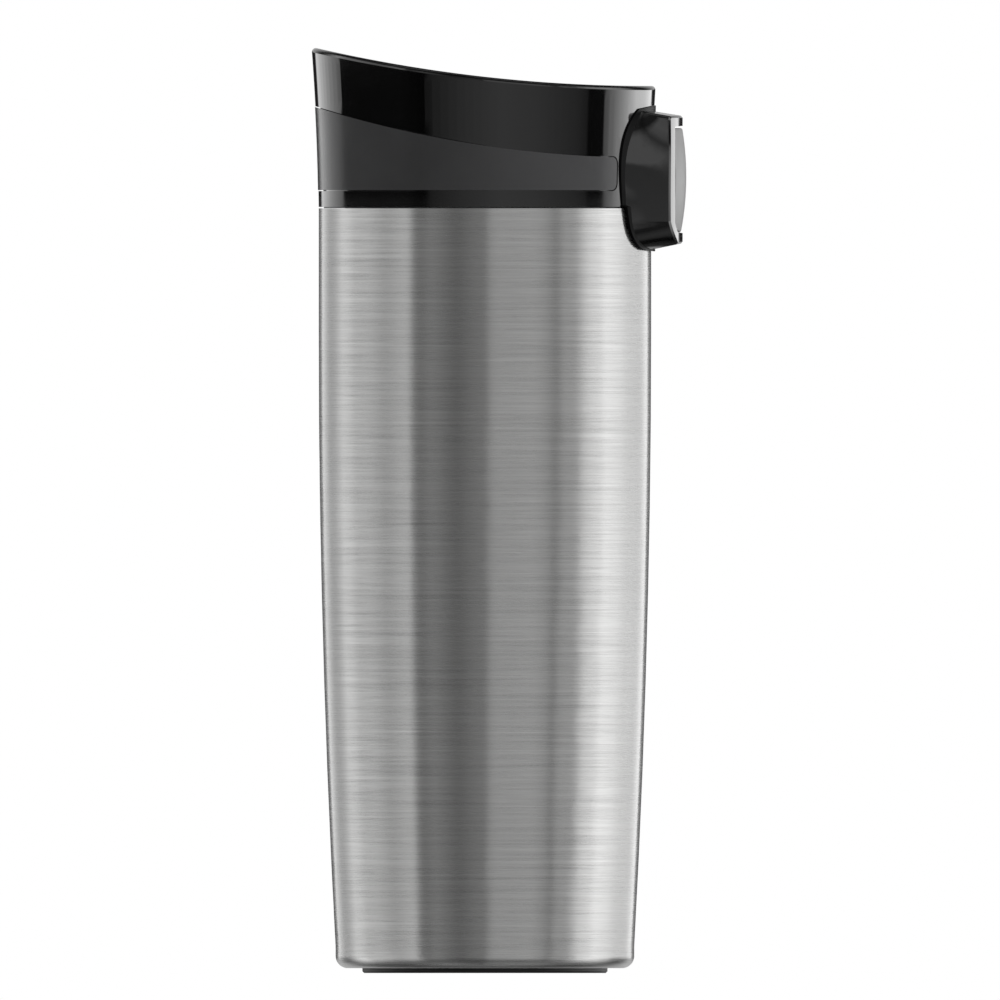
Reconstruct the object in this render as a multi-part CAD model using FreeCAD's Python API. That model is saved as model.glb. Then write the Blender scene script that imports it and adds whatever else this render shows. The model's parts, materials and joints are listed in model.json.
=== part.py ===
import FreeCAD, Part
import math
import os

# Insulated travel mug: a double-walled vacuum cup of stainless steel with a screw-on lid.
# The lid has a drinking well, a soft grip band and a sprung thumb button. The button's rod
# pushes a hinged arm under the well's floor, and the arm lowers the stoppers that close the
# drinking slot and the vent.
#
# Millimetres. Origin: on the mug's axis at the underside of the foot pad. +Z is up, +X is the
# button's side and -X the side that is drunk from.

V = FreeCAD.Vector
UP = V(0, 0, 1)
ALONG_X = V(1, 0, 0)
ALONG_Y = V(0, 1, 0)
FAR = 120.0  # larger than any half-width, for cutting tools

# --- Vacuum cup -------------------------------------------------------------------------
CUP_R = 37.5  # outer radius of the straight neck
CUP_TOP = 172.5
CUP_BOTTOM = 1.1  # steel rim, above the foot pad
TAPER_TOP = 145.0  # below this the wall curves gently inwards
TAPER_ARC_R = 2530.0
SHELL_WALL = 0.6
LINER_WALL = 0.5
VACUUM_GAP = 2.5
WELD_Z = 6.0  # where the shell meets the pressed base
BASE_CORNER_R = 2.8
BASE_RECESS_R = 27.9
BASE_RECESS_Z = 2.0
BASE_STEP = 0.6  # run of the slanted step into the recess
DIMPLE_R = 6.0
DIMPLE_FLOOR_R = 4.5
DIMPLE_Z = 3.4
EVACUATION_R = 0.8
SEAL_BEAD_R = 2.2
SEAL_BEAD_DEPTH = 0.5
PAD_R = 27.65
PAD_EDGE = 0.4
LINER_BOTTOM = 7.0
LINER_CORNER_R = 8.0
LIP_INNER_R = 0.8  # rounding of the mouth's inner edge
LIP_UNDER_R = 1.2
GETTER_R = 4.0
GETTER_H = 1.4
GETTER_X = 14.0
GETTER_STRIP = (16.0, 6.0, 0.3)  # length, width, thickness

# --- Screw thread between neck and lid ----------------------------------------------------
PITCH = 5.0
THREAD_TURNS = 1.3
NECK_THREAD_Z = 163.0  # start of the ridge inside the neck
NECK_THREAD_TIP_R = 32.5
LID_THREAD_TIP_R = 33.3
RIDGE_ROOT_HALF = 1.0
RIDGE_TIP_HALF = 0.5
RIDGE_ROOTED = 0.1  # how far a ridge reaches into its wall
THREAD_SHIFT = 1.42  # the lid's ridge bears on the underside of the neck's
LID_THREAD_START_DEG = -288.0

# --- Lid: outer shell and grip band ---------------------------------------------------------
LID_BOTTOM = 172.8
LID_OUTLINE = ((37.5, 172.8), (38.0, 190.5), (39.1, 208.7))  # radius and height, on one arc
LID_WALL = 2.4
SOCKET_R = 36.45  # counterbore that takes the core's flange
SOCKET_TOP = 176.1
RIM_X = 37.2  # the rim is lowest here, over the button
RIM_Z = 200.1
RIM_ARC_R = 335.0
RIM_ROUND = 0.9
BAND_BOTTOM = 176.6
BAND_TOP_Z = 183.9
BAND_ARC_R = 255.0
BAND_END_DEG = 38.0  # angle from +X to each end of the band
BAND_DEPTH = 1.1
BAND_PROUD = 0.1
BAND_GAP = 0.2
BAND_END_GAP_DEG = 0.8
BAND_CORNER_R = 1.6

# --- Lid: threaded core ---------------------------------------------------------------------
SKIRT_R = 31.6
SKIRT_INNER_R = 29.5
SKIRT_BOTTOM = 156.5
SKIRT_LEAD = 0.7
FLANGE_R = 36.4
FLANGE_BOTTOM = 173.8
FLANGE_TOP = 176.05
DECK_UNDER = 185.5
DECK_TOP_LIP_SIDE = 187.4  # the well's floor slopes down to the drinking slot
DECK_TOP_BUTTON_SIDE = 191.2
DECK_HALF_SPAN = 36.0
DECK_EDGE_GAP = 0.05
GASKET_INNER_R = 31.75
GASKET_OUTER_R = 36.35
GASKET_GAP = 0.05
SLOT_X = -21.0
SLOT_HALF = (4.5, 8.0)  # half-width along X, half-length along Y
VENT_X = -10.0
VENT_R = 1.5

# --- Button: fixed housing --------------------------------------------------------------------
# An outline is one half of its shape, as (half-width, height): the bevelled lower corner, the side,
# then the heights of the middle of its bottom and top edges.
BEZEL_OUTLINE = (
    ((11.5, 162.6), (19.4, 165.6), (21.2, 169.5)),
    ((21.2, 169.5), (22.3, 179.0), (21.2, 189.8), (16.4, 194.9)),
    (162.4, 195.7),
)
SKIRT_OUTLINE = (
    ((10.8, 163.0), (18.8, 166.1), (20.3, 169.5)),
    ((20.3, 169.5), (21.2, 174.0), (21.4, 181.0), (20.0, 189.0)),
    (162.8, 190.0),
)
HOUSING_BACK = (
    ((10.1, 162.1), (19.4, 165.6), (20.7, 169.5)),
    ((20.7, 169.5), (21.9, 178.5), (20.6, 190.0), (14.6, 195.4)),
    (161.6, 195.7),
)
HOUSING_FRONT = (
    ((9.5, 164.8), (11.7, 167.3), (13.7, 169.5)),
    ((13.7, 169.5), (13.2, 178.5), (13.9, 188.0), (16.0, 192.5)),
    (164.9, 193.1),
)
PAD_OPENING = (
    ((9.9, 167.1), (11.2, 168.1), (12.2, 169.2)),
    ((12.2, 169.2), (12.2, 176.0), (12.2, 184.0), (12.2, 190.9)),
    (166.9, 191.1),
)
HOUSING_TOP_ROUND = 1.0
HOUSING_FACE_BEVEL = 0.4
BACK_X = 30.0
FRONT_X = 46.0
HOUSING_FACE_R = 44.6
STEEL_CLEARANCE_R = 37.9
BEZEL_SKIRT_R = 38.4
BEZEL_PROUD = 0.3
LOWER_WALL_R = 39.3
UPPER_BACK_Z = 176.2
POCKET_FLOOR_X = 36.45
POCKET_HALF_Y = 12.1
POCKET_Z = (176.9, 188.6)
WING_POCKET_HALF_Y = 14.5
WING_POCKET_Z = (177.7, 187.7)
WING_STOP_X = 40.15
CUP_OUTER_R = 6.4
CUP_INNER_R = 5.3
CUP_BACK_X = 31.9
CUP_FLOOR_X = 32.7

# --- Button: moving pieces ------------------------------------------------------------------------
PRESS = 3.0
PLATE_GAP = 0.2
PLATE_BACK_R = 42.55
PLATE_CROWN = ((44.2, 167.1), (45.4, 178.0), (44.5, 190.6))  # x and height down the middle
PLATE_CROWN_AXIS_X = 14.1
PLATE_ROUND = 0.5
CARRIER_BACK_X = 39.6
CARRIER_FRONT_R = 42.5
CARRIER_HALF_Y = 11.8
CARRIER_Z = (177.2, 188.2)
WING_HALF_Y = 14.2
WING_Z = (178.0, 187.4)
WING_FRONT_X = 40.0
SPRING_SEAT_X = 40.8
SPRING_SEAT_R = 5.3
ROD_Z = 182.5
ROD_R = 2.5
NOSE_X = 8.5  # centre of the rod's round nose, at rest
SPIGOT_R = 1.5
SPIGOT_END_X = 42.3
CLIP_RECESS_R = 3.5
CLIP_X = (41.5, 42.0)
CLIP_R = 3.2
CLIP_SLOT = 1.2
RUNNING = 0.04  # radial clearance of a sliding fit
BUTTON_COIL_R = 4.6
BUTTON_WIRE_R = 0.3
BUTTON_COILS = 5
COIL_END_GAP = 0.35

# --- Valve: bearing ears, arm and stoppers -----------------------------------------------------------
PIVOT_X = 20.0
PIVOT_Z = 176.5
PIN_R = 1.25
PIN_HALF = 8.6
EAR_Y = (6.4, 8.4)
EAR_HALF_X = 3.2
OPEN_DEG = 8.0  # arm's swing for a full press
HUB_R = 2.6
HUB_Y = (-6.2, 3.0)
BEAM_HALF_Y = 3.0
BEAM_Z = (174.6, 178.2)
BEAM_END_X = -25.0
RAMP_GAP = 0.15
RAMP_TOP = 184.6
RAMP_BACK_X = (-4.0, -7.0)  # at its top and at its foot
SEAT_Z = 180.8
STOPPER_BASE = 182.0
STOPPER_TOP = 185.4
STOPPER_HALF = (6.2, 9.7)
STOPPER_EDGE = 0.6
VENT_STOPPER_R = 3.0
VENT_POST_R = 2.2
ARM_COIL_R = 1.9
ARM_WIRE_R = 0.3
ARM_COIL_Y = 3.6
ARM_COIL_PITCH = 0.7
ARM_COILS = 3.25
ARM_LEG_END_X = 10.5
ARM_LEG_GAP = 0.1
LEDGE_X = (9.8, 13.0)
LEDGE_Z = (176.5, 178.2)
LEDGE_Y = 6.7
BOSS_R = 5.0
BOSS_INNER_X = 26.6
SEAL_R = 3.8
SEAL_X = (27.6, 31.3)
SEAL_LIP_R = 2.75


def polygon(points):
    """Closed outline through (radius, height) points, in the XZ plane."""
    corners = [V(r, 0, z) for r, z in points]
    return Part.makePolygon(corners + corners[:1])


def line(start, end):
    """Edge between two (radius, height) points in the XZ plane."""
    return Part.makeLine(V(start[0], 0, start[1]), V(end[0], 0, end[1]))


def arc(start, middle, end):
    """Arc through three (radius, height) points in the XZ plane."""
    return Part.Arc(*[V(r, 0, z) for r, z in (start, middle, end)]).toShape()


def corner(centre, radius, from_deg, to_deg):
    """Round corner in the XZ plane, by its centre and two angles."""
    angles = [math.radians(a) for a in (from_deg, (from_deg + to_deg) / 2, to_deg)]
    spots = [(centre[0] + radius * math.cos(a), centre[1] + radius * math.sin(a)) for a in angles]
    return arc(*spots)


def turned(outline):
    """Solid of revolution about the mug's axis from a closed outline."""
    return Part.Face(outline).revolve(V(0, 0, 0), UP, 360)


def joined_outline(edges):
    """Closed wire from edges that run on from each other."""
    return Part.Wire(Part.__sortEdges__(edges))


def ring(inner, outer, low, high):
    """Plain round ring about the mug's axis."""
    return turned(polygon([(inner, low), (outer, low), (outer, high), (inner, high)]))


def column(radius, low, high):
    """Solid cylinder about the mug's axis."""
    return Part.makeCylinder(radius, high - low, V(0, 0, low))


def block(x, y, z):
    """Box from its (low, high) pairs."""
    size = [pair[1] - pair[0] for pair in (x, y, z)]
    return Part.makeBox(*size, V(x[0], y[0], z[0]))


def rod_along_x(radius, start, end, height=ROD_Z):
    """Cylinder along X in the middle plane."""
    return Part.makeCylinder(radius, end - start, V(start, 0, height), ALONG_X)


def rod_along_y(radius, start, end):
    """Cylinder along Y on the arm's pivot axis."""
    return Part.makeCylinder(radius, end - start, V(PIVOT_X, start, PIVOT_Z), ALONG_Y)


def stadium(centre_x, half_x, half_y, low, high):
    """Upright slot shape with round ends, long along Y."""
    reach = half_y - half_x
    ends = [Part.makeCylinder(half_x, high - low, V(centre_x, y, low)) for y in (-reach, reach)]
    middle = block((centre_x - half_x, centre_x + half_x), (-reach, reach), (low, high))
    return middle.fuse(ends).removeSplitter()


def near_edges(solid, test):
    """Edges of a solid whose middle point passes a test."""
    return [e for e in solid.Edges if test(e.valueAt((e.FirstParameter + e.LastParameter) / 2))]


# --- Vacuum cup ---------------------------------------------------------------------------


def cup_radius(z):
    """Outer radius of the steel shell at a height."""
    below = max(TAPER_TOP - z, 0)
    return CUP_R - TAPER_ARC_R + math.sqrt(TAPER_ARC_R**2 - below**2)


def cup_wall(z_low, inset):
    """Arc of the tapering wall, inset from the outside, from the neck down to a height."""
    heights = (TAPER_TOP, (TAPER_TOP + z_low) / 2, z_low)
    return arc(*[(cup_radius(z) - inset, z) for z in heights])


def outer_shell():
    """Drawn steel tube, straight at the neck and gently tapered below, open at both ends."""
    inner = CUP_R - SHELL_WALL
    edges = [
        line((CUP_R, CUP_TOP), (CUP_R, TAPER_TOP)),
        cup_wall(WELD_Z, 0),
        line((cup_radius(WELD_Z), WELD_Z), (cup_radius(WELD_Z) - SHELL_WALL, WELD_Z)),
        cup_wall(WELD_Z, SHELL_WALL),
        line((inner, TAPER_TOP), (inner, CUP_TOP)),
        line((inner, CUP_TOP), (CUP_R, CUP_TOP)),
    ]
    return turned(joined_outline(edges))


def base_cap():
    """Pressed steel base, welded to the shell, recessed for the pad and dimpled in the middle."""
    side = cup_radius(WELD_Z)
    centre = (side - BASE_CORNER_R, CUP_BOTTOM + BASE_CORNER_R)
    inside = BASE_CORNER_R - SHELL_WALL
    recess_edge = BASE_RECESS_R + BASE_STEP
    low, floor, dimple = CUP_BOTTOM, BASE_RECESS_Z, DIMPLE_Z
    under = [(centre[0], low), (recess_edge, low), (BASE_RECESS_R, floor)]
    under += [(DIMPLE_R, floor), (DIMPLE_FLOOR_R, dimple), (EVACUATION_R, dimple)]
    over = [(r - shift, z + SHELL_WALL) for (r, z), shift in zip(under, (0, 0.4, 0.4, 0.3, 0.3, 0))]
    edges = [line(a, b) for a, b in zip(under, under[1:])]
    edges += [line(a, b) for a, b in zip(over, over[1:])]
    edges += [
        line(under[-1], over[-1]),
        corner(centre, BASE_CORNER_R, -90, 0),
        corner(centre, inside, -90, 0),
        line((side, centre[1]), (side, WELD_Z)),
        line((side - SHELL_WALL, centre[1]), (side - SHELL_WALL, WELD_Z)),
        line((side, WELD_Z), (side - SHELL_WALL, WELD_Z)),
    ]
    return turned(joined_outline(edges))


def vacuum_seal():
    """Bead of solder glass that closes the evacuation hole from inside the dimple."""
    low = DIMPLE_Z - SEAL_BEAD_DEPTH
    bead = column(SEAL_BEAD_R, low, DIMPLE_Z).cut(ring(SEAL_BEAD_R - 0.4, FAR, low - 1, low + 0.2))
    return bead.fuse(column(EVACUATION_R, DIMPLE_Z, DIMPLE_Z + SHELL_WALL)).removeSplitter()


def base_pad():
    """Round non-slip pad that the mug stands on."""
    points = [(0, 0), (PAD_R - PAD_EDGE, 0), (PAD_R, PAD_EDGE), (PAD_R, BASE_RECESS_Z), (0, BASE_RECESS_Z)]
    return turned(polygon(points))


def thread_ridge(wall_r, tip_r, start_z, start_deg):
    """Helical ridge from a wall towards tip_r."""
    rooted = wall_r + math.copysign(RIDGE_ROOTED, wall_r - tip_r)
    path = Part.makeHelix(PITCH, PITCH * THREAD_TURNS, rooted)
    section = polygon(
        [
            (rooted, -RIDGE_ROOT_HALF),
            (tip_r, -RIDGE_TIP_HALF),
            (tip_r, RIDGE_TIP_HALF),
            (rooted, RIDGE_ROOT_HALF),
        ]
    )
    ridge = Part.Wire(path.Edges).makePipeShell([section], True, True)
    ridge.rotate(V(0, 0, 0), UP, start_deg)
    ridge.translate(V(0, 0, start_z))
    return ridge


def inner_liner():
    """Thin inner flask with a turned-out lip, welded to the shell, and the neck's thread."""
    inset = SHELL_WALL + VACUUM_GAP
    outer = CUP_R - inset
    inner = outer - LINER_WALL
    weld_r = CUP_R - SHELL_WALL
    under_lip = CUP_TOP - LINER_WALL
    turn_z = LINER_BOTTOM + LINER_CORNER_R
    foot = cup_radius(turn_z) - inset
    centre = (foot - LINER_CORNER_R, turn_z)
    edges = [
        corner(centre, LINER_CORNER_R, 0, -90),
        line((centre[0], LINER_BOTTOM), (0, LINER_BOTTOM)),
        line((0, LINER_BOTTOM), (0, LINER_BOTTOM + LINER_WALL)),
        line((0, LINER_BOTTOM + LINER_WALL), (centre[0], LINER_BOTTOM + LINER_WALL)),
        corner(centre, LINER_CORNER_R - LINER_WALL, -90, 0),
        cup_wall(turn_z, inset),
        cup_wall(turn_z, inset + LINER_WALL),
        line((outer, TAPER_TOP), (outer, under_lip - LIP_UNDER_R)),
        corner((outer + LIP_UNDER_R, under_lip - LIP_UNDER_R), LIP_UNDER_R, 180, 90),
        line((outer + LIP_UNDER_R, under_lip), (weld_r, under_lip)),
        line((weld_r, under_lip), (weld_r, CUP_TOP)),
        line((weld_r, CUP_TOP), (inner + LIP_INNER_R, CUP_TOP)),
        corner((inner + LIP_INNER_R, CUP_TOP - LIP_INNER_R), LIP_INNER_R, 90, 180),
        line((inner, CUP_TOP - LIP_INNER_R), (inner, TAPER_TOP)),
    ]
    flask = turned(joined_outline(edges))
    return flask.fuse(thread_ridge(inner, NECK_THREAD_TIP_R, NECK_THREAD_Z, 0))


def getter_holder():
    """Steel strip spot-welded under the liner, which carries the getter."""
    length, width, thick = GETTER_STRIP
    along = (GETTER_X - length / 2, GETTER_X + length / 2)
    return block(along, (-width / 2, width / 2), (LINER_BOTTOM - thick, LINER_BOTTOM))


def getter():
    """Pellet that binds the last gas in the vacuum space."""
    top = LINER_BOTTOM - GETTER_STRIP[2]
    return Part.makeCylinder(GETTER_R, GETTER_H, V(GETTER_X, 0, top - GETTER_H))


# --- Lid ------------------------------------------------------------------------------------


def lid_radius(z):
    """Radius of the lid's outside, which flares slightly towards the rim."""
    circle = Part.Circle(*[V(r, 0, h) for r, h in LID_OUTLINE])
    return circle.Center.x - math.sqrt(circle.Radius**2 - (z - circle.Center.z) ** 2)


def lid_arc(low, high, inset):
    """Edge of the lid's outside between two heights, inset by this much."""
    return arc(*[(lid_radius(z) - inset, z) for z in (low, (low + high) / 2, high)])


def lid_body(low, high, inset):
    """Solid filled up to the lid's outside, or to that surface inset."""
    bottom_r, top_r = lid_radius(low) - inset, lid_radius(high) - inset
    edges = [
        line((0, low), (bottom_r, low)),
        lid_arc(low, high, inset),
        line((top_r, high), (0, high)),
        line((0, high), (0, low)),
    ]
    return turned(joined_outline(edges))


def above_sweep(z, radius):
    """Everything above a shallow hollow curve that is lowest over the button."""
    roller = Part.makeCylinder(radius, 2 * FAR, V(RIM_X, -FAR, z + radius), ALONG_Y)
    return roller.common(block((-FAR, FAR), (-FAR, FAR), (z - 1, z + FAR)))


def through(points):
    """Smooth edge through points."""
    curve = Part.BSplineCurve()
    curve.interpolate(points)
    return curve.toShape()


def outline_wire(outline, x):
    """The button's outline in a plane at x."""
    lower, side, (bottom, top) = outline
    half = [[V(x, y, z) for y, z in run] for run in (lower, side)]
    other = [[V(x, -p.y, p.z) for p in reversed(run)] for run in reversed(half)]
    over = [half[1][-1], V(x, 0, top), other[0][0]]
    under = [other[1][-1], V(x, 0, bottom), half[0][0]]
    return Part.Wire([through(run) for run in half + [over] + other + [under]])


def outline_prism(outline, start, end):
    """Straight bar along X with a barrel-shaped outline."""
    return Part.Face(outline_wire(outline, start)).extrude(V(end - start, 0, 0))


def housing_bar():
    """Bar that narrows outwards: the button housing before it is hollowed."""
    wires = [outline_wire(HOUSING_BACK, BACK_X), outline_wire(HOUSING_FRONT, FRONT_X)]
    bar = Part.makeLoft(wires, True, True)
    upper = min(HOUSING_BACK[1][-1][1], HOUSING_FRONT[1][-1][1])
    lengthwise = near_edges(bar, lambda p: BACK_X < p.x < FRONT_X and p.z > upper)
    return bar.makeFillet(HOUSING_TOP_ROUND, [e for e in lengthwise if e.BoundBox.XLength > 1])


def band_region(low, raise_by, inner_inset, outer_inset, end_deg, corner_r):
    """Part of the lid's wall that the grip band, or the recess for it, takes, with rounded ends."""
    top = LID_OUTLINE[2][1]
    skin = lid_body(low, top, outer_inset).cut(lid_body(low, top, inner_inset))
    skin = skin.cut(above_sweep(BAND_TOP_Z + raise_by, BAND_ARC_R))
    across = FAR * math.tan(math.radians(end_deg))
    wedge = Part.makePolygon([V(0, 0, 0), V(FAR, -across, 0), V(FAR, across, 0), V(0, 0, 0)])
    region = skin.cut(Part.Face(wedge).extrude(V(0, 0, 2 * FAR)))

    def at_end_corner(p):
        angle = math.degrees(math.atan2(abs(p.y), p.x))
        inset = lid_radius(p.z) - math.hypot(p.x, p.y)
        return abs(angle - end_deg) < 0.1 and abs(inset - (inner_inset + outer_inset) / 2) < 0.3

    return region.makeFillet(corner_r, near_edges(region, at_end_corner))


def grip_band():
    """Soft inlay round the drinking side, open at the button."""
    return band_region(BAND_BOTTOM, 0, BAND_DEPTH, -BAND_PROUD, BAND_END_DEG, BAND_CORNER_R)


def lid_shell():
    """Glossy outer shell of the lid, with the rim that slopes down towards the button."""
    top = LID_OUTLINE[2][1] + 1
    shell = lid_body(LID_BOTTOM, top, 0).cut(lid_body(SOCKET_TOP, top + 1, LID_WALL))
    shell = shell.cut(column(SOCKET_R, LID_BOTTOM - 1, SOCKET_TOP))
    shell = shell.cut(above_sweep(RIM_Z, RIM_ARC_R))
    rim = near_edges(shell, lambda p: p.z > RIM_Z - 0.5)
    shell = shell.makeFillet(RIM_ROUND, rim)
    recess_low = BAND_BOTTOM - BAND_GAP
    recess_end = BAND_END_DEG - BAND_END_GAP_DEG
    recess = band_region(recess_low, BAND_GAP, BAND_DEPTH, -1, recess_end, BAND_CORNER_R + BAND_GAP)
    return shell.cut(recess).cut(outline_prism(BEZEL_OUTLINE, BACK_X - 5, FRONT_X))


def valve_ears():
    """Two plates under the well's floor that hold the arm's pivot pin."""
    ears = []
    for side in (-1, 1):
        across = sorted((side * EAR_Y[0], side * EAR_Y[1]))
        plate = block((PIVOT_X - EAR_HALF_X, PIVOT_X + EAR_HALF_X), across, (PIVOT_Z, DECK_UNDER + 0.5))
        ears.append(plate.fuse(rod_along_y(EAR_HALF_X, *across)))
    return ears[0].fuse(ears[1]).cut(rod_along_y(PIN_R, -FAR, FAR))


def sloping_deck():
    """Floor of the drinking well, lowest at the slot, up to the shell's inner wall."""
    span = DECK_HALF_SPAN
    side = [(-span, DECK_UNDER), (span, DECK_UNDER), (span, DECK_TOP_BUTTON_SIDE), (-span, DECK_TOP_LIP_SIDE)]
    slab = Part.Face(polygon(side)).extrude(V(0, 2 * FAR, 0))
    slab.translate(V(0, -FAR, 0))
    inside = lid_body(DECK_UNDER - 1, DECK_TOP_BUTTON_SIDE + 1, LID_WALL + DECK_EDGE_GAP)
    return slab.common(inside)


def lid_core():
    """Threaded skirt, flange and well floor in one moulding, with the rod's boss and the ears."""
    lead = SKIRT_LEAD
    skirt = turned(
        polygon(
            [
                (SKIRT_INNER_R, SKIRT_BOTTOM),
                (SKIRT_R - lead, SKIRT_BOTTOM),
                (SKIRT_R, SKIRT_BOTTOM + lead),
                (SKIRT_R, FLANGE_BOTTOM),
                (FLANGE_R, FLANGE_BOTTOM),
                (FLANGE_R, FLANGE_TOP),
                (SKIRT_R, FLANGE_TOP),
                (SKIRT_R, DECK_UNDER + 0.5),
                (SKIRT_INNER_R, DECK_UNDER + 0.5),
            ]
        )
    )
    boss = rod_along_x(BOSS_R, BOSS_INNER_X, SKIRT_INNER_R + 1).common(column(SKIRT_R, 0, DECK_UNDER + 0.5))
    core = skirt.fuse([sloping_deck(), boss, valve_ears()])
    core = core.cut(rod_along_x(SEAL_LIP_R, BOSS_INNER_X - 1, SKIRT_R + 1))
    core = core.cut(rod_along_x(SEAL_R, SEAL_X[0], SKIRT_R + 1))
    core = core.cut(rod_along_x(CUP_OUTER_R + 0.1, SKIRT_R + 0.1, FLANGE_R + 1))
    core = core.cut(stadium(SLOT_X, *SLOT_HALF, DECK_UNDER - 1, DECK_TOP_BUTTON_SIDE))
    core = core.cut(Part.makeCylinder(VENT_R, DECK_UNDER, V(VENT_X, 0, DECK_UNDER - 1)))
    start_z = NECK_THREAD_Z - THREAD_SHIFT + PITCH * LID_THREAD_START_DEG / 360
    ridge = thread_ridge(SKIRT_R, LID_THREAD_TIP_R, start_z, LID_THREAD_START_DEG)
    return core.fuse(ridge)


def lid_gasket():
    """Flat silicone ring between the lid's flange and the mouth of the cup."""
    return ring(GASKET_INNER_R, GASKET_OUTER_R, CUP_TOP + GASKET_GAP, FLANGE_BOTTOM - GASKET_GAP)


# --- Button --------------------------------------------------------------------------------------


def behind_housing():
    """Space inside the housing's back: the steel cup below, the lid's flange, then its shell."""
    steel = column(STEEL_CLEARANCE_R, 0, LID_BOTTOM)
    flange = column(FLANGE_R + 0.1, LID_BOTTOM, UPPER_BACK_Z)
    shell = lid_body(UPPER_BACK_Z, LID_OUTLINE[2][1], LID_WALL)
    return steel.fuse([flange, shell])


def button_bezel():
    """Dark collar round the housing, set into the lid's shell, with a slim skirt over the steel."""
    low, high = SKIRT_OUTLINE[2][0] - 1, BEZEL_OUTLINE[2][1] + 1
    seam = LID_BOTTOM + 0.4
    points = [(0, low), (BEZEL_SKIRT_R, low), (BEZEL_SKIRT_R, LID_BOTTOM)]
    points += [(lid_radius(z) + BEZEL_PROUD, z) for z in (seam, high)] + [(0, high)]
    below = block((BACK_X - 5, FRONT_X), (-FAR, FAR), (0, LID_BOTTOM))
    upper = outline_prism(BEZEL_OUTLINE, BACK_X - 5, FRONT_X).cut(below)
    skirt = outline_prism(SKIRT_OUTLINE, BACK_X - 5, FRONT_X).common(below)
    collar = upper.fuse(skirt).common(turned(polygon(points)))
    collar = collar.cut(block((-FAR, BACK_X), (-FAR, FAR), (0, 2 * FAR)))
    return collar.cut(behind_housing()).cut(housing_bar())


def button_housing():
    """Fixed frame that the button slides in, with a cup at its back for the spring."""
    face = column(HOUSING_FACE_R, 0, 2 * FAR)
    face.rotate(V(0, 0, 0), UP, 180)
    housing = housing_bar().common(face).Solids[0]
    front = near_edges(housing, lambda p: abs(math.hypot(p.x, p.y) - HOUSING_FACE_R) < 0.05)
    housing = housing.makeChamfer(HOUSING_FACE_BEVEL, front).cut(behind_housing())
    opening = outline_prism(PAD_OPENING, BACK_X, FRONT_X).cut(column(LOWER_WALL_R, 0, 2 * FAR))
    pocket = block((POCKET_FLOOR_X, FRONT_X), (-POCKET_HALF_Y, POCKET_HALF_Y), POCKET_Z)
    wings = block((POCKET_FLOOR_X, WING_STOP_X), (-WING_POCKET_HALF_Y, WING_POCKET_HALF_Y), WING_POCKET_Z)
    housing = housing.cut(opening).cut(pocket).cut(wings)
    housing = housing.fuse(rod_along_x(CUP_OUTER_R, CUP_BACK_X, POCKET_FLOOR_X))
    housing = housing.cut(rod_along_x(CUP_INNER_R, CUP_FLOOR_X, POCKET_FLOOR_X + 0.1))
    return housing.cut(rod_along_x(ROD_R + RUNNING, CUP_BACK_X - 1, CUP_FLOOR_X + 1))


def button_plate():
    """Crowned thumb plate."""
    axis = PLATE_CROWN_AXIS_X
    crown = [(x - axis, z) for x, z in PLATE_CROWN]
    low, high = crown[0][1], crown[2][1]
    edges = [arc(*crown), line(crown[2], (0, high)), line((0, high), (0, low)), line((0, low), crown[0])]
    pillow = turned(joined_outline(edges))
    pillow.translate(V(axis, 0, 0))
    lower, side, (bottom, top) = PAD_OPENING
    gap = PLATE_GAP
    lower, side = [[(y - gap, z + gap) for y, z in run] for run in (lower, side)]
    side[-1] = (side[-1][0], side[-1][1] - 2 * gap)
    outline = (lower, side, (bottom + gap, top - gap))
    plate = outline_prism(outline, BACK_X, FRONT_X).common(pillow)
    plate = plate.cut(column(PLATE_BACK_R, 0, 2 * FAR))
    outer = near_edges(plate, lambda p: math.hypot(p.x, p.y) > PLATE_BACK_R + 0.3)
    rim = [e for e in outer if e.BoundBox.XLength + e.BoundBox.YLength + e.BoundBox.ZLength > 2.5]
    return plate.makeFillet(PLATE_ROUND, rim)


def button_carrier():
    """Sliding block behind the thumb plate, whose wings stop behind the housing's frame."""
    body = block((CARRIER_BACK_X, FRONT_X), (-CARRIER_HALF_Y, CARRIER_HALF_Y), CARRIER_Z)
    body = body.common(column(CARRIER_FRONT_R, 0, 2 * FAR))
    body = body.fuse(block((CARRIER_BACK_X, WING_FRONT_X), (-WING_HALF_Y, WING_HALF_Y), WING_Z))
    body = body.cut(rod_along_x(SPRING_SEAT_R, CARRIER_BACK_X - 1, SPRING_SEAT_X))
    body = body.cut(rod_along_x(SPIGOT_R, SPRING_SEAT_X - 1, FRONT_X))
    return body.cut(rod_along_x(CLIP_RECESS_R, CLIP_X[0], FRONT_X))


def push_rod():
    """Round rod from the button to the arm, with a spherical nose and a spigot for the clip."""
    rod = rod_along_x(ROD_R, NOSE_X, SPRING_SEAT_X)
    nose = Part.makeSphere(ROD_R, V(NOSE_X, 0, ROD_Z))
    return rod.fuse([nose, rod_along_x(SPIGOT_R, SPRING_SEAT_X, SPIGOT_END_X)]).removeSplitter()


def rod_clip():
    """Push-on clip that holds the rod's spigot in the carrier."""
    clip = rod_along_x(CLIP_R, *CLIP_X).cut(rod_along_x(SPIGOT_R, CLIP_X[0] - 1, CLIP_X[1] + 1))
    slot = block((CLIP_X[0] - 1, CLIP_X[1] + 1), (-CLIP_SLOT / 2, CLIP_SLOT / 2), (ROD_Z, ROD_Z + CLIP_R + 1))
    return clip.cut(slot)


def coil(radius, wire_r, pitch, turns):
    """Coil spring about +Z from its start at (radius, 0, 0)."""
    path = Part.makeHelix(pitch, pitch * turns, radius)
    section = Part.Wire(Part.makeCircle(wire_r, V(radius, 0, 0), V(0, 1, 0)))
    return Part.Wire(path.Edges).makePipeShell([section], True, True)


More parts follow.
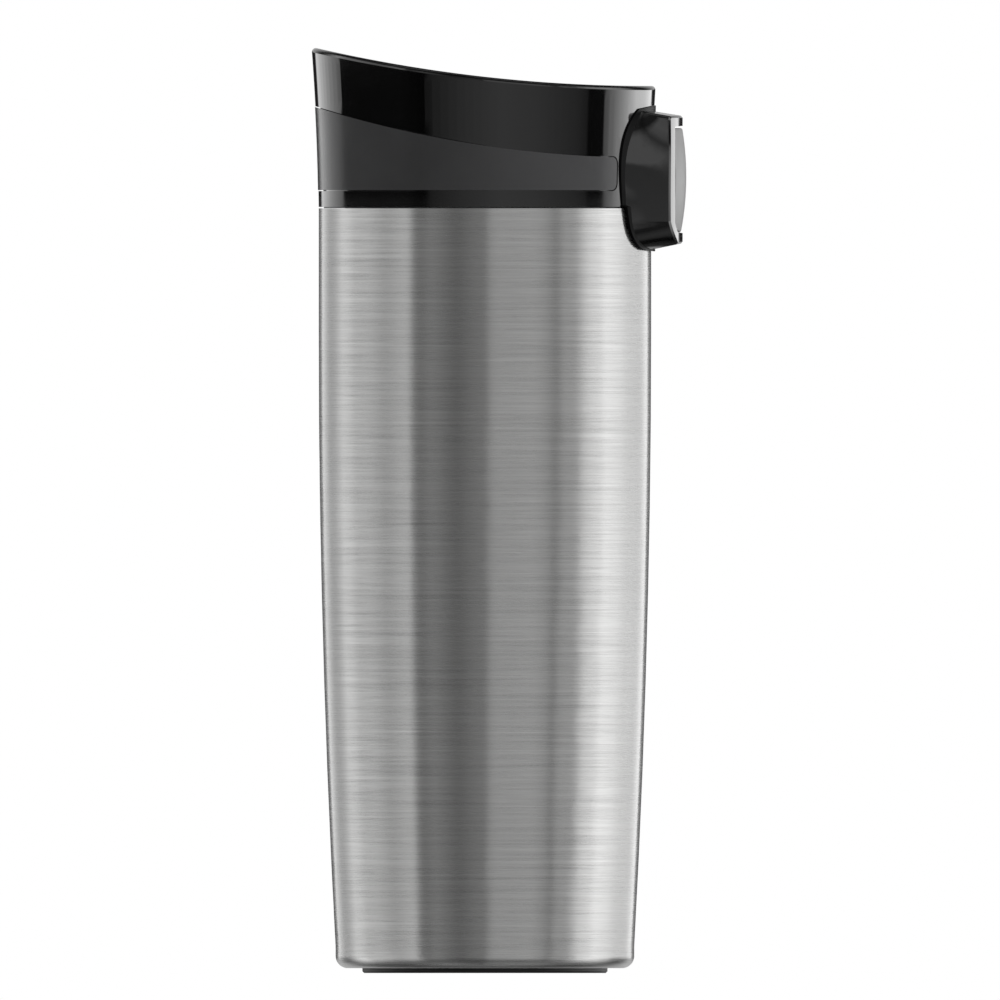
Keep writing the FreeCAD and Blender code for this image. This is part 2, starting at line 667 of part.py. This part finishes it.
def button_spring():
    """Compression spring round the rod, between the housing's cup and the carrier."""
    start = CUP_FLOOR_X + COIL_END_GAP
    length = SPRING_SEAT_X - COIL_END_GAP - start
    spring = coil(BUTTON_COIL_R, BUTTON_WIRE_R, length / BUTTON_COILS, BUTTON_COILS)
    spring.rotate(V(0, 0, 0), ALONG_Y, 90)
    spring.translate(V(start, 0, ROD_Z))
    return spring


def rod_seal():
    """Silicone bush in the core's boss, which wipes the rod."""
    return rod_along_x(SEAL_R, *SEAL_X).cut(rod_along_x(ROD_R + RUNNING, SEAL_X[0] - 1, SEAL_X[1] + 1))


# --- Valve --------------------------------------------------------------------------------------


def pivot_pin():
    """Steel pin of the valve arm, held in the ears."""
    return rod_along_y(PIN_R, -PIN_HALF, PIN_HALF)


def arm_spring():
    """Torsion spring on the pin: one leg up to the well's floor, the other under the arm's ledge."""
    radius = ARM_COIL_R
    height = ARM_COIL_PITCH * ARM_COILS
    slope = ARM_COIL_PITCH / (2 * math.pi * radius)
    low_leg = PIVOT_X - ARM_LEG_END_X
    high_leg = DECK_UNDER - PIVOT_Z - ARM_LEG_GAP
    start = V(radius, -low_leg, -low_leg * slope)
    last = V(-high_leg, radius, height + high_leg * slope)
    winding = Part.makeHelix(ARM_COIL_PITCH, height, radius)
    path = [Part.makeLine(start, V(radius, 0, 0))] + winding.Edges
    path.append(Part.makeLine(V(0, radius, height), last))
    section = Part.Wire(Part.makeCircle(ARM_WIRE_R, start, V(0, 1, slope)))
    spring = Part.Wire(path).makePipeShell([section], True, True)
    spring.rotate(V(0, 0, 0), ALONG_X, 90)
    spring.rotate(V(0, 0, 0), ALONG_Y, 90)
    spring.translate(V(PIVOT_X, ARM_COIL_Y + height, PIVOT_Z))
    return spring


def seen_from_arm(x, z, press):
    """Where a point of the rod is, in the arm's own frame, once the button is pressed by this much."""
    swing = math.radians(OPEN_DEG) * press / PRESS
    dx, dz = x - press - PIVOT_X, z - PIVOT_Z
    turned_x = dx * math.cos(swing) + dz * math.sin(swing)
    turned_z = dz * math.cos(swing) - dx * math.sin(swing)
    return PIVOT_X + turned_x, PIVOT_Z + turned_z


def ramp():
    """Wedge on the arm that the rod's nose slides along."""
    first, last = seen_from_arm(NOSE_X, ROD_Z, 0), seen_from_arm(NOSE_X, ROD_Z, PRESS)
    run, rise = last[0] - first[0], last[1] - first[1]
    length = math.hypot(run, rise)
    away = ROD_R + RAMP_GAP
    touch = (first[0] - away * rise / length, first[1] + away * run / length)

    def on_slope(z):
        return touch[0] + (z - touch[1]) * run / rise, z

    foot = (BEAM_Z[0] + BEAM_Z[1]) / 2
    side = [on_slope(foot), on_slope(RAMP_TOP), (RAMP_BACK_X[0], RAMP_TOP), (RAMP_BACK_X[1], foot)]
    wedge = Part.Face(polygon(side)).extrude(V(0, 2 * BEAM_HALF_Y, 0))
    wedge.translate(V(0, -BEAM_HALF_Y, 0))
    return wedge


def valve_arm():
    """Hinged arm under the well: hub, beam, ramp, and the seats of both stoppers."""
    hub = rod_along_y(HUB_R, *HUB_Y)
    beam = block((BEAM_END_X, PIVOT_X), (-BEAM_HALF_Y, BEAM_HALF_Y), BEAM_Z)
    seat = stadium(SLOT_X, STOPPER_HALF[0] - 0.2, STOPPER_HALF[1] - 0.2, SEAT_Z, STOPPER_BASE)
    middle = (BEAM_Z[0] + BEAM_Z[1]) / 2
    post = block((SLOT_X - 3, SLOT_X + 3), (-BEAM_HALF_Y, BEAM_HALF_Y), (middle, SEAT_Z))
    vent_post = Part.makeCylinder(VENT_POST_R, STOPPER_BASE - middle, V(VENT_X, 0, middle))
    ledge = block(LEDGE_X, (BEAM_HALF_Y - 1, LEDGE_Y), LEDGE_Z)
    arm = hub.fuse([beam, seat, post, vent_post, ledge, ramp()]).removeSplitter()
    return arm.cut(rod_along_y(PIN_R + RUNNING, HUB_Y[0] - 1, HUB_Y[1] + 1))


def drink_stopper():
    """Silicone pad that closes the drinking slot from below."""
    pad = stadium(SLOT_X, *STOPPER_HALF, STOPPER_BASE, STOPPER_TOP)
    return pad.makeChamfer(STOPPER_EDGE, near_edges(pad, lambda p: p.z > STOPPER_TOP - 0.01))


def vent_stopper():
    """Small silicone pad that closes the vent from below."""
    pad = Part.makeCylinder(VENT_STOPPER_R, STOPPER_TOP - STOPPER_BASE, V(VENT_X, 0, STOPPER_BASE))
    return pad.makeChamfer(STOPPER_EDGE, near_edges(pad, lambda p: p.z > STOPPER_TOP - 0.01))


NODES = [
    outer_shell,
    base_cap,
    vacuum_seal,
    inner_liner,
    getter_holder,
    getter,
    base_pad,
    lid_gasket,
    lid_shell,
    grip_band,
    lid_core,
    button_bezel,
    button_housing,
    button_plate,
    button_carrier,
    push_rod,
    rod_clip,
    button_spring,
    rod_seal,
    pivot_pin,
    arm_spring,
    valve_arm,
    drink_stopper,
    vent_stopper,
]

os.makedirs("parts", exist_ok=True)
for node in NODES:
    solid = node()
    print(f"{node.__name__:16} {len(solid.Solids)} {solid.isValid()} {solid.Volume:10.1f}")
    solid.exportStep(f"parts/{node.__name__}.step")
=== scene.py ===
import json
import math

import bmesh
import bpy
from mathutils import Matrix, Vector


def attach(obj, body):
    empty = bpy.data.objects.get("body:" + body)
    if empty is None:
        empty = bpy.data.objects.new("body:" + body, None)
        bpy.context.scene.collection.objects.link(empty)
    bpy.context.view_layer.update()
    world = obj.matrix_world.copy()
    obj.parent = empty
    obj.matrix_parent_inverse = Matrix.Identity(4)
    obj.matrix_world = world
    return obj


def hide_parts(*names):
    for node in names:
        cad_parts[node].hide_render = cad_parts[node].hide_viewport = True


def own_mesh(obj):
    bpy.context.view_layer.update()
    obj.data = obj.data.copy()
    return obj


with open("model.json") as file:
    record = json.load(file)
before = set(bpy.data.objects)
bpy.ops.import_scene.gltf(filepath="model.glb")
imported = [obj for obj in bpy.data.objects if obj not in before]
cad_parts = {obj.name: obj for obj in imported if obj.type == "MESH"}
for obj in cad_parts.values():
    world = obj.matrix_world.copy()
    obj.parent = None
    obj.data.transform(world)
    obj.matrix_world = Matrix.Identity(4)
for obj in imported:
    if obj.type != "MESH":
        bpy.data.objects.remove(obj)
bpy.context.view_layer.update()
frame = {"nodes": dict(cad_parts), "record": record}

# Lengths are metres, in the CAD frame: the mug stands on z = 0, its axis is Z, +X is the button's
# side.
MM = 0.001
FLOOR_RADIUS = 4.0
FLOOR_SIDES = 96
FLOOR_DROP = 0.02 * MM  # keeps the floor clear of the foot's face
VIEW_WIDTH = 0.22556  # what the camera sees from side to side
VIEW_CENTRE = (0.0034, 0.1067)  # x and height of the middle of the picture
CAMERA_DISTANCE = 1.2
LAMP_PLACE = (0.9, -0.25, 0.9)
LAMP_TARGET = (0, 0, 0.1)
LAMP_WIDTH = 0.9
LAMP_POWER = 9.0

# Studio light round the mug, as (degrees from the camera's side towards +X, brightness).
# The first list is seen in the upright glossy lid, the second, much wider, in the brushed steel.
# Not plain studio light: most values were fitted to the photo's brightness. See the open point in
# report.md before reuse.
LID_LIGHTS = (
    (-180, 0.022),
    (-159, 0.022),
    (-156, 1.656),
    (-140, 1.451),
    (-122, 0.898),
    (-117, 0.774),
    (-116, 0.019),
    (-60, 0.024),
    (-41.5, 0.01),
    (-40.5, 0.045),
    (-38, 0.12),
    (-15, 0.256),
    (12, 0.37),
    (35, 0.322),
    (66, 0.181),
    (74.8, 0.098),
    (75.8, 0.019),
    (89.8, 0.022),
    (91, 0.599),
    (110, 1.907),
    (125, 3.017),
    (140, 2.384),
    (155, 2.304),
    (158, 0.022),
    (180, 0.022),
)
STEEL_LIGHTS = (
    (-180, 0.55),
    (-160, 0.55),
    (-140, 0.02),
    (-129, 0.453),
    (-115, 1.502),
    (-105, 1.01),
    (-90, 0.999),
    (-75, 0.728),
    (-60, 1.008),
    (-56, 1.154),
    (-51, 0.217),
    (-40, 0.41),
    (-20, 0.126),
    (-5, 0.262),
    (0, 0.171),
    (4, 0.59),
    (20, 0.584),
    (35, 0.633),
    (46, 0.5),
    (52, 0.213),
    (58, 0.637),
    (67, 0.506),
    (78, 1.423),
    (94, 1.786),
    (110, 1.096),
    (125, 0.108),
    (140, 0.01),
    (160, 0.55),
    (180, 0.55),
)
LIGHT_SCALE = 4.0  # brightest value that a colour ramp has to hold
# Light left by height, as (sine of the elevation, share).
DIMMING = ((0.0, 1.0), (0.42, 1.0), (0.62, 0.12), (0.85, 0.12), (1.0, 0.5))
# Middle and reach of the first list's band, as sines of the elevation, (behind, in front of) the
# mug.
BAND = ((-0.012, -0.062), (0.03, 0.09))
BAND_EDGE = 0.03  # over which it gives way to the second list

# Finishes by the record's slot. Grain is its size and its depth.
BRUSHED = ("brushed_shell", "brushed_base")
STEEL_TONE = (0.60, 0.60, 0.595)
STEEL_METALLIC = 0.92  # the rest is dull bloom in the brushed grain
STEEL_ROUGHNESS = 0.24
METALS = {  # tone, roughness, grain
    "liner_steel": ((0.62, 0.62, 0.61), 0.30, (0.12 * MM, 0.002 * MM)),
    "strip_steel": ((0.55, 0.55, 0.55), 0.35, (0.30 * MM, 0.004 * MM)),
    "getter_alloy": ((0.22, 0.22, 0.23), 0.65, (0.20 * MM, 0.030 * MM)),
    "spring_steel": ((0.60, 0.60, 0.60), 0.25, (0.10 * MM, 0.002 * MM)),
    "pin_steel": ((0.70, 0.70, 0.70), 0.15, (0.10 * MM, 0.001 * MM)),
}
SATINS = {  # colour, roughness, grain, specular level
    "solder_glass": ((0.06, 0.07, 0.06), 0.20, (0.50 * MM, 0.004 * MM), 0.5),
    # bezel_black: a black inlay, made near-black with almost no reflection so that its colour is
    # also painted shade for the groove round the button.
    "bezel_black": ((0.003, 0.003, 0.0031), 0.42, (0.20 * MM, 0.006 * MM), 0.03),
    "core_black": ((0.018, 0.018, 0.019), 0.38, (0.30 * MM, 0.012 * MM), 0.5),
    "plate_grey": ((0.27, 0.27, 0.27), 0.40, (0.12 * MM, 0.004 * MM), 0.5),
    "carrier_black": ((0.03, 0.03, 0.03), 0.40, (0.20 * MM, 0.006 * MM), 0.5),
    "rod_white": ((0.60, 0.60, 0.58), 0.35, (0.30 * MM, 0.003 * MM), 0.5),
    "arm_grey": ((0.20, 0.20, 0.21), 0.40, (0.25 * MM, 0.006 * MM), 0.5),
}
RUBBERS = {  # colour, lowest and highest roughness, specular level, sheen
    "foot_rubber": ((0.02, 0.02, 0.02), (0.42, 0.54), 0.5, 0.12),
    "grip_soft": ((0.062, 0.062, 0.0635), (0.18, 0.24), 0.32, 0.0),
}
GLOSSES = {"gloss_black": (0.001, 0.001, 0.0011), "housing_black": (0.004, 0.004, 0.0041)}
SILICONES = {"gasket_silicone": (0.32, 0.33, 0.33), "stopper_silicone": (0.30, 0.31, 0.31)}
PAPER = ((0.86, 0.86, 0.86), (0.90, 0.90, 0.90))


# --- Node graphs ----------------------------------------------------------------------------


def node(tree, kind, inputs=None, **settings):
    """Adds a shader node; inputs maps a socket's name or number to a value or another socket."""
    made = tree.nodes.new(kind)
    for key, value in settings.items():
        setattr(made, key, value)
    for key, value in (inputs or {}).items():
        if isinstance(value, bpy.types.NodeSocket):
            tree.links.new(value, made.inputs[key])
        else:
            made.inputs[key].default_value = value
    return made


def maths(tree, operation, *values):
    """Output of a math node on these values or sockets."""
    return node(tree, "ShaderNodeMath", dict(enumerate(values)), operation=operation).outputs[0]


def plus(tree, one, other):
    """Sum of two values or sockets."""
    return maths(tree, "ADD", one, other)


def times(tree, one, other):
    """Product of two values or sockets."""
    return maths(tree, "MULTIPLY", one, other)


def ramp(tree, factor, stops):
    """Colour ramp output for grey stops, each (position, value)."""
    made = node(tree, "ShaderNodeValToRGB", {"Fac": factor})
    elements = made.color_ramp.elements
    while len(elements) < len(stops):
        elements.new(0.5)
    for element, (position, value) in zip(elements, stops):
        element.position = position
        element.color = (value, value, value, 1)
    return made.outputs["Color"]


def span(tree, value, limits):
    """Map range output; limits may set From Min, From Max, To Min and To Max."""
    return node(tree, "ShaderNodeMapRange", {"Value": value, **limits}).outputs["Result"]


def between(tree, factor, low, high):
    """Maps a 0 to 1 value to the span from low to high."""
    return span(tree, factor, {"To Min": low, "To Max": high})


def mix(tree, factor, one, other, **settings):
    """Colour that goes from one to the other, each a colour or a socket, as factor goes 0 to 1."""
    inputs = {"Factor": factor, "A": one, "B": other}
    return node(tree, "ShaderNodeMix", inputs, data_type="RGBA", **settings).outputs["Result"]


def shade(colour, factor):
    """The colour made darker or lighter, with an alpha of 1."""
    return (*[min(c * factor, 1) for c in colour], 1)


def noise(tree, coords, size, detail=3.0, roughness=0.55, stretch=(1, 1, 1)):
    """Noise with features of about this size, stretched by these factors along X, Y and Z."""
    scale = [1 / (size * s) for s in stretch]
    moved = node(tree, "ShaderNodeMapping", {"Vector": coords, "Scale": scale}).outputs["Vector"]
    inputs = {"Vector": moved, "Scale": 1.0, "Detail": detail, "Roughness": roughness}
    return node(tree, "ShaderNodeTexNoise", inputs).outputs["Fac"]


def bumps(tree, heights):
    """Chain of bump nodes for (height socket, depth in metres, strength), finest last."""
    normal = None
    for height, depth, strength in heights:
        inputs = {"Height": height, "Distance": depth, "Strength": strength}
        if normal is not None:
            inputs["Normal"] = normal
        normal = node(tree, "ShaderNodeBump", inputs).outputs["Normal"]
    return normal


def wear(tree, low, high):
    """1 along convex edges and 0 elsewhere."""
    point = node(tree, "ShaderNodeNewGeometry").outputs["Pointiness"]
    return span(tree, point, {"From Min": low, "From Max": high})


def start(name):
    """New material: (material, its tree, the object's own coordinates)."""
    material = bpy.data.materials.new(name)
    material.use_nodes = True
    tree = material.node_tree
    return material, tree, node(tree, "ShaderNodeTexCoord").outputs["Object"]


def surface(material, **inputs):
    """Gives the shader its inputs, named with _ for a space: values are set, sockets linked."""
    tree = material.node_tree
    shader = tree.nodes["Principled BSDF"]
    for key, value in inputs.items():
        name = key.replace("_", " ")
        if isinstance(value, bpy.types.NodeSocket):
            tree.links.new(value, shader.inputs[name])
        else:
            shader.inputs[name].default_value = value
    return material


# --- Materials ------------------------------------------------------------------------------


def brushed_steel(name):
    """Stainless steel brushed round the axis: fine level scratches stretch highlights upright."""
    material, tree, coords = start(name)
    fine = noise(tree, coords, size=0.16 * MM, detail=4.0, roughness=0.7, stretch=(120, 120, 1))
    streaks = noise(tree, coords, size=0.7 * MM, roughness=0.65, stretch=(60, 60, 1))
    clouds = noise(tree, coords, size=22 * MM, detail=2.0)
    both = plus(tree, times(tree, fine, 0.55), times(tree, streaks, 0.45))
    contrast = span(tree, both, {"From Min": 0.34, "From Max": 0.66})
    uneven = plus(tree, times(tree, contrast, 0.05), times(tree, clouds, 0.03))
    around = node(tree, "ShaderNodeTangent", direction_type="RADIAL", axis="Z")
    return surface(
        material,
        Base_Color=mix(tree, contrast, shade(STEEL_TONE, 0.77), shade(STEEL_TONE, 1.20)),
        Metallic=STEEL_METALLIC,
        Anisotropic=0.95,
        Anisotropic_Rotation=0.25,
        Roughness=plus(tree, uneven, STEEL_ROUGHNESS),
        Tangent=around.outputs["Tangent"],
        Normal=bumps(tree, [(streaks, 0.004 * MM, 0.5), (fine, 0.0016 * MM, 0.6)]),
    )


def plain_metal(name, tone, roughness, grain):
    """Drawn or ground metal with a faint grain."""
    material, tree, coords = start(name)
    size, depth = grain
    marks = noise(tree, coords, size, detail=4.0, roughness=0.6)
    return surface(
        material,
        Base_Color=mix(tree, marks, shade(tone, 0.85), shade(tone, 1)),
        Metallic=1.0,
        Roughness=between(tree, marks, roughness * 0.75, roughness * 1.3),
        Normal=bumps(tree, [(marks, depth, 0.5)]),
    )


def gloss_plastic(name, colour):
    """Polished black moulding: faint flow waviness, handling haze and hairline scratches."""
    material, tree, coords = start(name)
    haze = noise(tree, coords, size=9 * MM, detail=4.0, roughness=0.6)
    hairs = noise(tree, coords, size=0.35 * MM, detail=2.0, roughness=0.5, stretch=(14, 14, 1))
    edge = wear(tree, low=0.52, high=0.60)
    dulled = maths(tree, "MAXIMUM", times(tree, haze, 0.3), edge)
    gloss = plus(tree, between(tree, haze, 0.02, 0.06), times(tree, edge, 0.08))
    return surface(
        material,
        Base_Color=mix(tree, dulled, shade(colour, 1), shade(colour, 2.2)),
        Roughness=plus(tree, gloss, times(tree, hairs, 0.02)),
        IOR=1.8,
        Normal=bumps(tree, [(haze, 0.010 * MM, 0.25), (hairs, 0.0012 * MM, 0.25)]),
    )


def satin_plastic(name, colour, roughness, grain, specular):
    """Finely eroded moulding with a silky gloss."""
    material, tree, coords = start(name)
    size, depth = grain
    texture = noise(tree, coords, size, roughness=0.6)
    mottle = noise(tree, coords, size=7 * MM)
    edge = wear(tree, low=0.52, high=0.62)
    base = mix(tree, mottle, shade(colour, 0.9), shade(colour, 1.08))
    rough = between(tree, mottle, roughness * 0.88, roughness * 1.12)
    return surface(
        material,
        Base_Color=mix(tree, times(tree, edge, 0.35), base, shade(colour, 1.7)),
        Roughness=plus(tree, rough, times(tree, edge, -0.08)),
        Specular_IOR_Level=specular,
        Normal=bumps(tree, [(texture, depth, 0.6)]),
    )


def soft_touch(name, colour, roughness, specular, sheen):
    """Rubbery overmoulding with a fine matt grain and a soft sheen."""
    material, tree, coords = start(name)
    grain = noise(tree, coords, size=0.22 * MM, roughness=0.65)
    patches = noise(tree, coords, size=12 * MM)
    return surface(
        material,
        Base_Color=mix(tree, patches, shade(colour, 0.9), shade(colour, 1.12)),
        Roughness=between(tree, patches, *roughness),
        Specular_IOR_Level=specular,
        Sheen_Weight=sheen,
        Sheen_Roughness=0.5,
        Normal=bumps(tree, [(grain, 0.02 * MM, 0.35)]),
    )


def silicone(name, colour):
    """Moulded silicone: slightly cloudy, soft gloss."""
    material, tree, coords = start(name)
    cloud = noise(tree, coords, size=4 * MM)
    dust = noise(tree, coords, size=0.3 * MM, detail=2.0)
    return surface(
        material,
        Base_Color=mix(tree, cloud, shade(colour, 0.88), shade(colour, 1)),
        Roughness=between(tree, dust, 0.38, 0.55),
        Subsurface_Weight=0.15,
        Subsurface_Radius=(2 * MM, 2 * MM, 2 * MM),
        Normal=bumps(tree, [(dust, 0.01 * MM, 0.4)]),
    )


def floor_paper(name):
    """Pale seamless studio paper."""
    material, tree, coords = start(name)
    tooth = noise(tree, coords, size=1.5 * MM, detail=4.0)
    dark, light = [shade(tone, 1) for tone in PAPER]
    return surface(material, Base_Color=mix(tree, tooth, dark, light), Roughness=0.9)


def make_materials():
    """Every finish, by the record's slot name."""
    made = {name: brushed_steel(name) for name in BRUSHED}
    for make, rows in ((plain_metal, METALS), (satin_plastic, SATINS), (soft_touch, RUBBERS)):
        made.update({name: make(name, *row) for name, row in rows.items()})
    for make, colours in ((gloss_plastic, GLOSSES), (silicone, SILICONES)):
        made.update({name: make(name, colour) for name, colour in colours.items()})
    return made


def dress_nodes(materials):
    """Gives every CAD node its finish, and evens the shading of the lid's thin triangles."""
    slots = {s["node"]: s["material_slot"] for s in frame["record"]["subparts"]}
    for name, piece in frame["nodes"].items():
        piece.data.materials.clear()
        piece.data.materials.append(materials[slots[name]])
    even = frame["nodes"]["lid_shell"].modifiers.new("even_shading", "WEIGHTED_NORMAL")
    even.mode = "FACE_AREA_WITH_ANGLE"
    even.keep_sharp = True


def make_return_spring(material):
    """The button's spring: a copy of the CAD spring that moves with the lid, in place of the hidden
    CAD spring.
    """
    spring = bpy.data.objects.new("return_spring", frame["nodes"]["button_spring"].data.copy())
    bpy.context.scene.collection.objects.link(spring)
    spring.data.materials.clear()
    spring.data.materials.append(material)
    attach(spring, "lid")
    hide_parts("button_spring")
    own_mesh(spring)


# --- Stage, light and camera ----------------------------------------------------------------


def make_floor(material):
    """Large plain disc under the mug, which reflections leave out."""
    mesh = bpy.data.meshes.new("floor")
    work = bmesh.new()
    bmesh.ops.create_circle(work, cap_ends=True, radius=FLOOR_RADIUS, segments=FLOOR_SIDES)
    work.to_mesh(mesh)
    work.free()
    floor = bpy.data.objects.new("floor", mesh)
    bpy.context.scene.collection.objects.link(floor)
    floor.location.z = -FLOOR_DROP
    floor.visible_glossy = False
    mesh.materials.append(material)


def azimuth_ramp(tree, turn, lights):
    """Brightness all round the horizon."""
    stops = [(degrees / 360 + 0.5, value / LIGHT_SCALE) for degrees, value in lights]
    return ramp(tree, turn, stops)


def light_band(tree, parts):
    """0 inside the band that the lid sees and 1 outside it; the band dips in front of the mug."""
    nearness = maths(tree, "MULTIPLY_ADD", parts["Y"], -0.5, 0.5)
    middle, reach = [
        maths(tree, "MULTIPLY_ADD", nearness, front - back, back) for back, front in BAND
    ]
    height = maths(tree, "ABSOLUTE", maths(tree, "SUBTRACT", parts["Z"], middle))
    return span(tree, maths(tree, "SUBTRACT", height, reach), {"From Max": BAND_EDGE})


def make_world():
    """Soft studio surround. The camera itself sees only a plain pale backdrop."""
    world = bpy.data.worlds.new("studio")
    bpy.context.scene.world = world
    world.use_nodes = True
    tree = world.node_tree
    direction = node(tree, "ShaderNodeTexCoord").outputs["Generated"]
    parts = node(tree, "ShaderNodeSeparateXYZ", {"Vector": direction}).outputs
    angle = maths(tree, "ARCTAN2", parts["X"], times(tree, parts["Y"], -1.0))
    turn = plus(tree, maths(tree, "DIVIDE", angle, 2 * math.pi), 0.5)
    lid, steel = [azimuth_ramp(tree, turn, lights) for lights in (LID_LIGHTS, STEEL_LIGHTS)]
    round_about = mix(tree, light_band(tree, parts), lid, steel)
    dim = ramp(tree, maths(tree, "ABSOLUTE", parts["Z"]), DIMMING)
    studio = mix(tree, 1.0, round_about, dim, blend_type="MULTIPLY")
    seen = node(tree, "ShaderNodeLightPath").outputs["Is Camera Ray"]
    background = tree.nodes["Background"]
    colour = mix(tree, seen, studio, shade((1, 1, 1), 1 / LIGHT_SCALE))
    tree.links.new(colour, background.inputs["Color"])
    background.inputs["Strength"].default_value = LIGHT_SCALE


def make_top_light():
    """Large soft box above, for the shadow under the mug and the inside of the well."""
    light = bpy.data.lights.new("top_light", "AREA")
    light.shape = "DISK"
    light.size = LAMP_WIDTH
    light.energy = LAMP_POWER
    lamp = bpy.data.objects.new("top_light", light)
    bpy.context.scene.collection.objects.link(lamp)
    lamp.location = LAMP_PLACE
    aim = Vector(LAMP_TARGET) - lamp.location
    lamp.rotation_euler = aim.to_track_quat("-Z", "Y").to_euler()
    lamp.visible_glossy = False


def make_camera():
    """Level camera on the -Y side, far and long enough to show no perspective."""
    data = bpy.data.cameras.new("camera")
    data.type = "ORTHO"
    data.ortho_scale = VIEW_WIDTH
    camera = bpy.data.objects.new("camera", data)
    bpy.context.scene.collection.objects.link(camera)
    camera.location = (VIEW_CENTRE[0], -CAMERA_DISTANCE, VIEW_CENTRE[1])
    camera.rotation_euler = (math.radians(90), 0, 0)
    bpy.context.scene.camera = camera
    bpy.context.scene.view_settings.view_transform = "Standard"


materials = make_materials()
dress_nodes(materials)
make_return_spring(materials["spring_steel"])
make_floor(floor_paper("floor_paper"))
make_world()
make_top_light()
make_camera()
